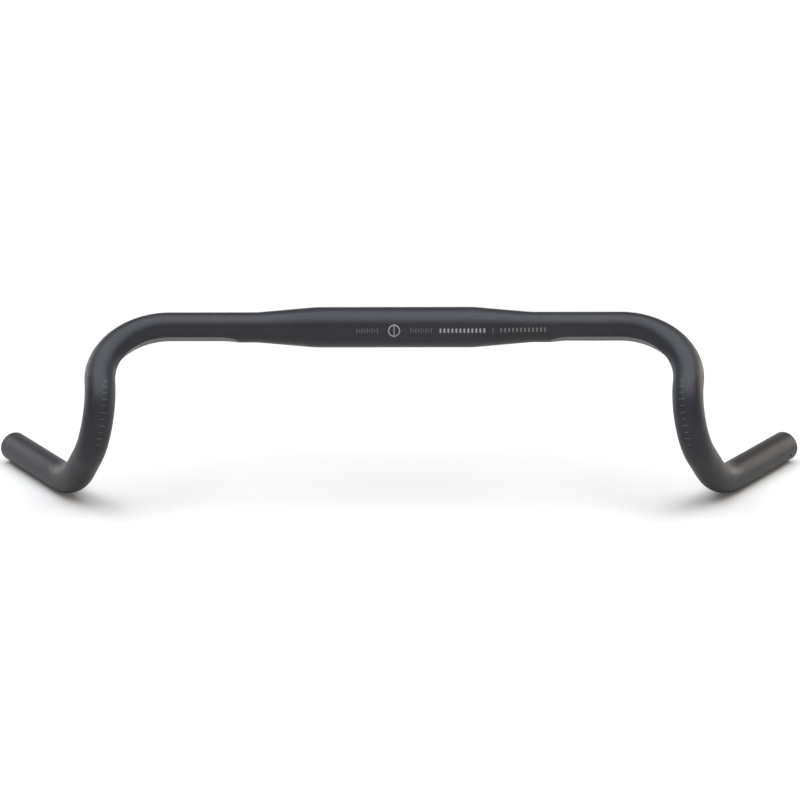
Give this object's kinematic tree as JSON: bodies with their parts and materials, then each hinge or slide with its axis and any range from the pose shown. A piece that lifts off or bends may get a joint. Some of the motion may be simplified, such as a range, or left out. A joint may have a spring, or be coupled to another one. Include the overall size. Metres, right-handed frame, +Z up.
{
  "type": "drop handlebar",
  "caption": "Flared bicycle drop handlebar bent from one tube, with a thicker stem clamp section, cable recesses, printed setting scales and a push-in plug in each end.",
  "frame": {"origin": "centre of the stem clamp section, on the bar's own axis", "axes": "+X along the bar to the rider's right, -Y forward in the riding direction, +Y back towards the rider, +Z up with the tails level"},
  "size_m": [0.651, 0.1453, 0.1464],
  "materials": {
    "anodised_tube": "fine bead-blasted black anodising",
    "plug_plastic": "moulded black plastic",
    "bright_ink": "printed light grey ink",
    "faint_ink": "printed mid grey ink"
  },
  "bodies": {
    "bar": {"bar_tube": "anodised_tube", "centre_mark": "bright_ink", "centring_scale_left": "faint_ink", "centring_scale_right": "faint_ink", "clamp_band": "bright_ink", "top_band": "faint_ink", "lever_scale_left": "faint_ink", "lever_scale_right": "faint_ink"},
    "plug_right": {"end_plug_right": "plug_plastic"},
    "plug_left": {"end_plug_left": "plug_plastic"}
  },
  "joints": [
    {"name": "plug_right_pull", "type": "slide", "parent": "bar", "child": "plug_right", "axis": [0.5664, 0.8241, 0], "range_m": [0, 0.03]},
    {"name": "plug_left_pull", "type": "slide", "parent": "bar", "child": "plug_left", "axis": [-0.5664, 0.8241, 0], "range_m": [0, 0.03]}
  ]
}
